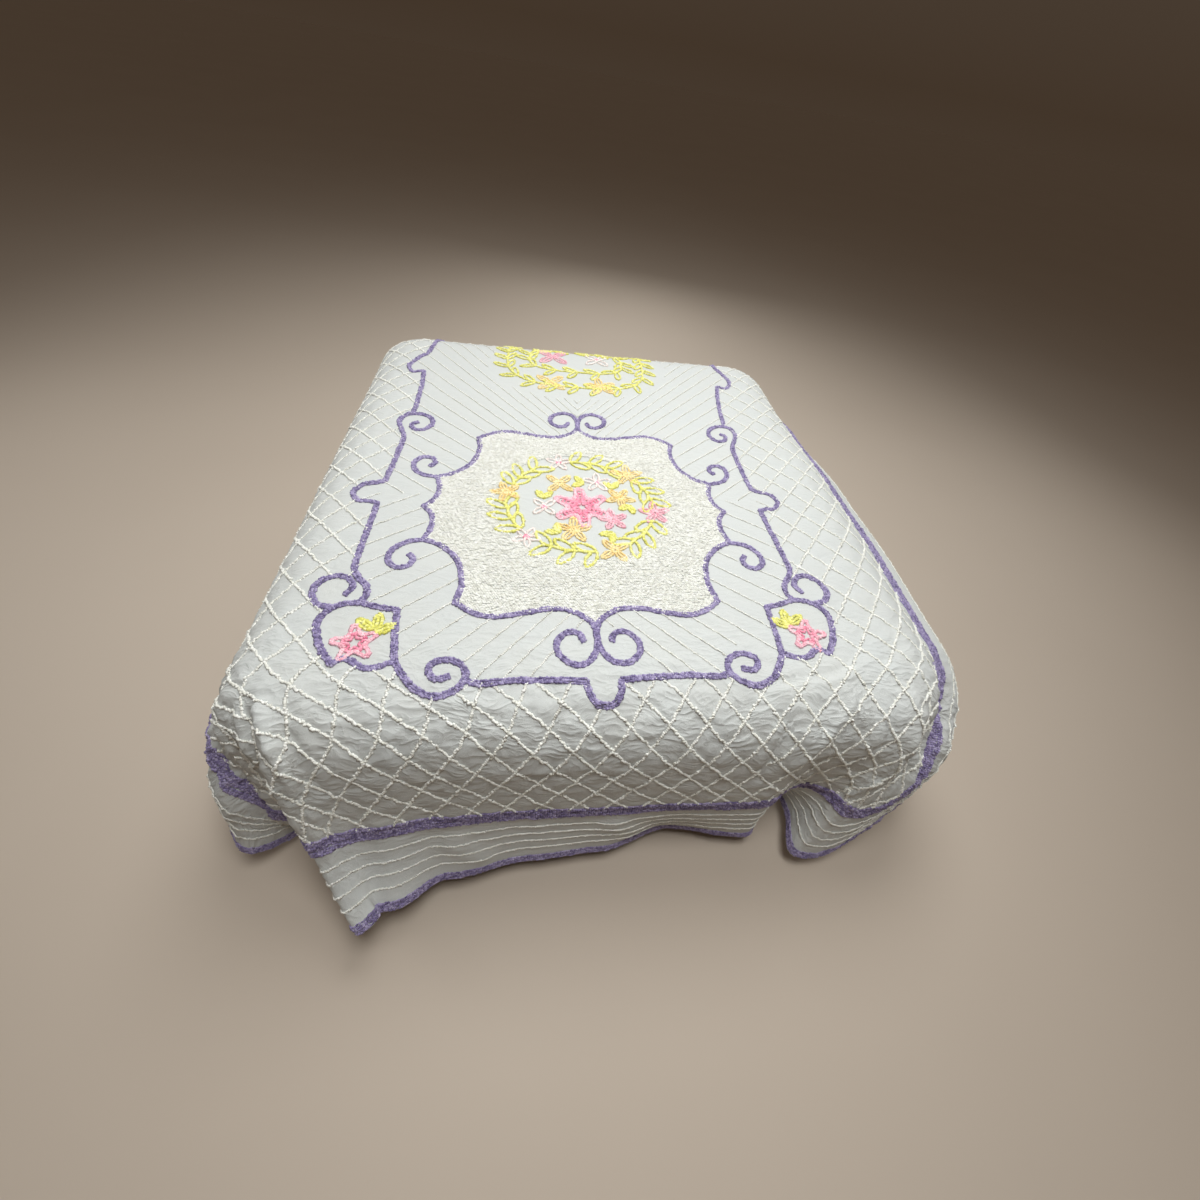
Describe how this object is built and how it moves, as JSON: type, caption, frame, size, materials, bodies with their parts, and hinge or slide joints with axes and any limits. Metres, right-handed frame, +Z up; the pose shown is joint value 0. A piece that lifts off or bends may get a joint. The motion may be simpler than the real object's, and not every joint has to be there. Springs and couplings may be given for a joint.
{
  "type": "chenille bedspread on a plain bed",
  "caption": "Cotton chenille bedspread with a tufted medallion, scroll frame, diamond lattice and banded hem, draped over a plain king-size bed.",
  "frame": {"origin": "middle of the bed base's underside, on the floor", "axes": "+X to the right of someone who stands at the foot, +Y from the foot to the head, +Z up"},
  "size_m": [2.2601, 2.4175, 0.7215],
  "materials": {
    "cotton_ground": "matte cotton sheeting, finely puckered between the tufted rows",
    "cream_tufts": "cut chenille pile, matte",
    "purple_tufts": "cut chenille pile, matte, flecked light and dark",
    "yellow_tufts": "cut chenille pile, matte",
    "orange_tufts": "cut chenille pile, matte",
    "pink_tufts": "cut chenille pile, matte",
    "mattress_ticking": "woven ticking, matte",
    "base_cloth": "plain upholstery cloth, matte"
  },
  "bodies": {
    "root": {"bedspread": "cotton_ground", "mattress": "mattress_ticking", "bed_base": "base_cloth"}
  },
  "joints": []
}
